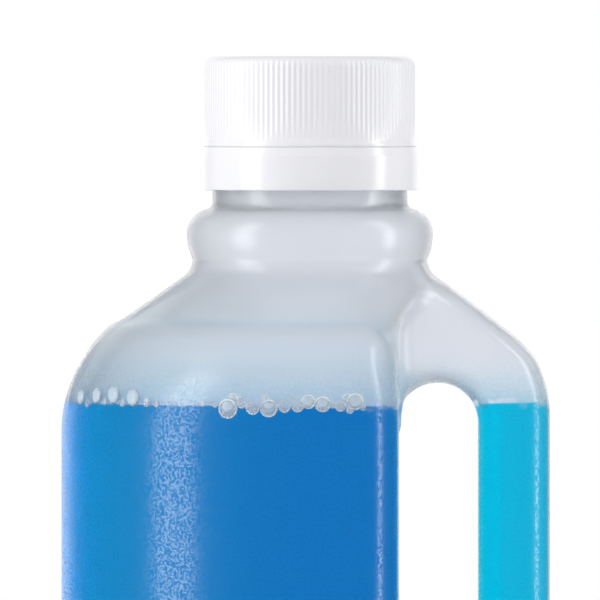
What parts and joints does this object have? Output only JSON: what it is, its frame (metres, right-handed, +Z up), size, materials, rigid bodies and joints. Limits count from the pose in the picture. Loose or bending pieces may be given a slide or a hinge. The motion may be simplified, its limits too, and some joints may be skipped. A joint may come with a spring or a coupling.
{
  "type": "handled bottle of liquid cleaner with screw cap",
  "caption": "Round translucent blow-moulded bottle with a hollow side handle, blue liquid inside, and a ribbed white screw cap over a tamper-evident band.",
  "frame": {"origin": "on the axis of the neck and the round body, at the standing ring", "axes": "+Z up along the neck's axis, +X from the axis towards the handle"},
  "size_m": [0.097, 0.097, 0.2306],
  "materials": {
    "natural_polyethylene": "natural milky translucent polyethylene, blow moulded, with a satin skin and a fine orange-peel grain",
    "blue_liquid": "clear blue water-thin liquid",
    "white_polypropylene": "opaque white injection-moulded polypropylene, semi-gloss",
    "white_foam": "white closed-cell foam sheet"
  },
  "bodies": {
    "bottle": {"bottle": "natural_polyethylene", "cleaner": "blue_liquid", "tamper_band": "white_polypropylene"},
    "wad": {"wad": "white_foam"},
    "cap": {"cap": "white_polypropylene"}
  },
  "joints": [
    {"name": "cap_lift", "type": "slide", "parent": "bottle", "child": "wad", "axis": [0, 0, 1], "range_m": [0, 0.0168]},
    {"name": "cap_turn", "type": "hinge", "parent": "wad", "child": "cap", "pos_m": [0, 0, 0.228], "axis": [0, 0, 1], "range_deg": [0, 1440]}
  ],
  "couplings": [
    {"joint": "cap_lift", "follows": "cap_turn", "m_per_rad": 0.00066845}
  ]
}
